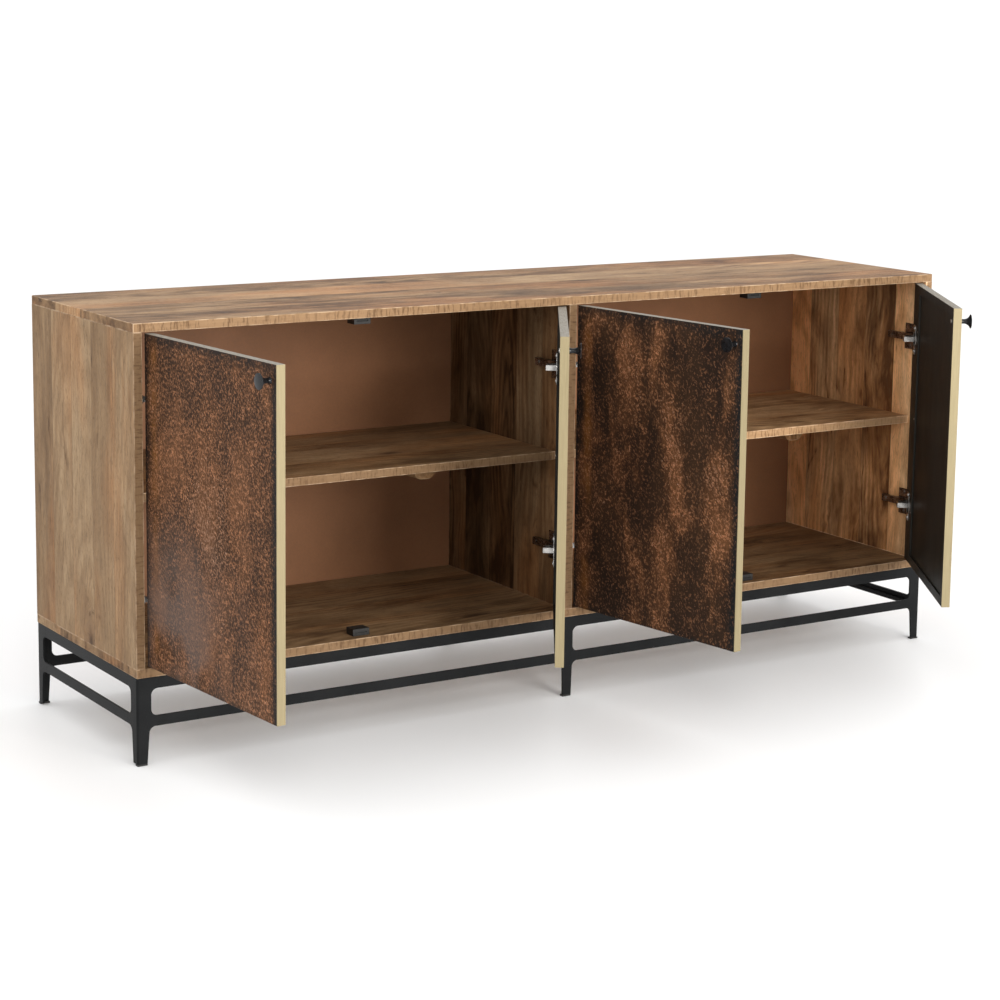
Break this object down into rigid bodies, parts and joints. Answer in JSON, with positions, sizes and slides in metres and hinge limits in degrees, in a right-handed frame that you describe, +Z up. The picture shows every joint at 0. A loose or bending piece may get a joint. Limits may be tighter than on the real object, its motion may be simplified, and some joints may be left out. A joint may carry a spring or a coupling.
{
  "type": "sideboard buffet",
  "caption": "Sideboard with a plank carcass on a black steel leg frame, inset doors with mottled copper faces on concealed cup hinges, and open shelved bays behind them.",
  "frame": {"origin": "on the floor at the middle of the front centre leg's glide, midway along the cabinet", "axes": "+X to the right along the front as seen from the front, +Y from the front towards the back, +Z up; the doors face -Y"},
  "size_m": [1.8, 0.8878, 0.78],
  "materials": {
    "wood": "satin",
    "hardboard": "matte",
    "door_back": "satin",
    "copper_patina": "satin",
    "brass_edge": "satin",
    "knob_black": "gloss",
    "black_steel": "matte",
    "hinge_steel": "satin",
    "screw_steel": "satin",
    "dark_plastic": "matte"
  },
  "bodies": {
    "cabinet": {"top_panel": "wood", "bottom_panel": "wood", "side_panel_left": "wood", "side_panel_right": "wood", "centre_divider": "wood", "shelf_left": "wood", "shelf_right": "wood", "shelf_battens_left": "wood", "shelf_battens_right": "wood", "back_panel": "hardboard", "shelf_pins": "hinge_steel", "base_screws": "screw_steel", "magnetic_catches": "dark_plastic", "glides": "dark_plastic", "leg_front_left": "black_steel", "leg_front_right": "black_steel", "leg_back_left": "black_steel", "leg_back_right": "black_steel", "leg_front_centre": "black_steel", "leg_back_centre": "black_steel", "rail_top_front_left": "black_steel", "rail_top_front_right": "black_steel", "rail_top_back_left": "black_steel", "rail_top_back_right": "black_steel", "rail_top_side_left": "black_steel", "rail_top_side_right": "black_steel", "rail_low_front_left": "black_steel", "rail_low_front_right": "black_steel", "rail_low_back_left": "black_steel", "rail_low_back_right": "black_steel", "rail_low_side_left": "black_steel", "rail_low_side_right": "black_steel", "hinge_mounts_1": "hinge_steel", "hinge_mounts_2": "hinge_steel", "hinge_mounts_3": "hinge_steel", "hinge_mounts_4": "hinge_steel"},
    "door_1": {"door_1_core": "door_back", "door_1_face": "copper_patina", "door_1_edge": "brass_edge", "door_1_knob": "knob_black", "door_1_fittings": "hinge_steel"},
    "door_2": {"door_2_core": "door_back", "door_2_face": "copper_patina", "door_2_edge": "brass_edge", "door_2_knob": "knob_black", "door_2_fittings": "hinge_steel"},
    "door_3": {"door_3_core": "door_back", "door_3_face": "copper_patina", "door_3_edge": "brass_edge", "door_3_knob": "knob_black", "door_3_fittings": "hinge_steel"},
    "door_4": {"door_4_core": "door_back", "door_4_face": "copper_patina", "door_4_edge": "brass_edge", "door_4_knob": "knob_black", "door_4_fittings": "hinge_steel"},
    "links_1": {"hinge_links_1": "hinge_steel"},
    "links_2": {"hinge_links_2": "hinge_steel"},
    "links_3": {"hinge_links_3": "hinge_steel"},
    "links_4": {"hinge_links_4": "hinge_steel"}
  },
  "joints": [
    {"name": "door_1_hinge", "type": "hinge", "parent": "cabinet", "child": "door_1", "pos_m": [-0.876, -0.005, 0.469], "axis": [0, 0, -1], "range_deg": [-86, 6]},
    {"name": "door_2_hinge", "type": "hinge", "parent": "cabinet", "child": "door_2", "pos_m": [-0.016, -0.005, 0.469], "axis": [0, 0, 1], "range_deg": [-57, 31]},
    {"name": "door_3_hinge", "type": "hinge", "parent": "cabinet", "child": "door_3", "pos_m": [0.016, -0.005, 0.469], "axis": [0, 0, -1], "range_deg": [-82, 6]},
    {"name": "door_4_hinge", "type": "hinge", "parent": "cabinet", "child": "door_4", "pos_m": [0.876, -0.005, 0.469], "axis": [0, 0, 1], "range_deg": [-58, 34]},
    {"name": "link_1_pivot", "type": "hinge", "parent": "cabinet", "child": "links_1", "pos_m": [-0.8762, 0.0161, 0.469], "axis": [0, 0, -1], "range_deg": [-51.8, 3.8]},
    {"name": "link_2_pivot", "type": "hinge", "parent": "cabinet", "child": "links_2", "pos_m": [-0.0158, 0.0161, 0.469], "axis": [0, 0, 1], "range_deg": [-34.4, 18.8]},
    {"name": "link_3_pivot", "type": "hinge", "parent": "cabinet", "child": "links_3", "pos_m": [0.0158, 0.0161, 0.469], "axis": [0, 0, -1], "range_deg": [-49.4, 3.8]},
    {"name": "link_4_pivot", "type": "hinge", "parent": "cabinet", "child": "links_4", "pos_m": [0.8762, 0.0161, 0.469], "axis": [0, 0, 1], "range_deg": [-35, 20.6]}
  ],
  "couplings": [
    {"joint": "link_1_pivot", "follows": "door_1_hinge", "ratio": 0.6},
    {"joint": "link_2_pivot", "follows": "door_2_hinge", "ratio": 0.6},
    {"joint": "link_3_pivot", "follows": "door_3_hinge", "ratio": 0.6},
    {"joint": "link_4_pivot", "follows": "door_4_hinge", "ratio": 0.6}
  ]
}
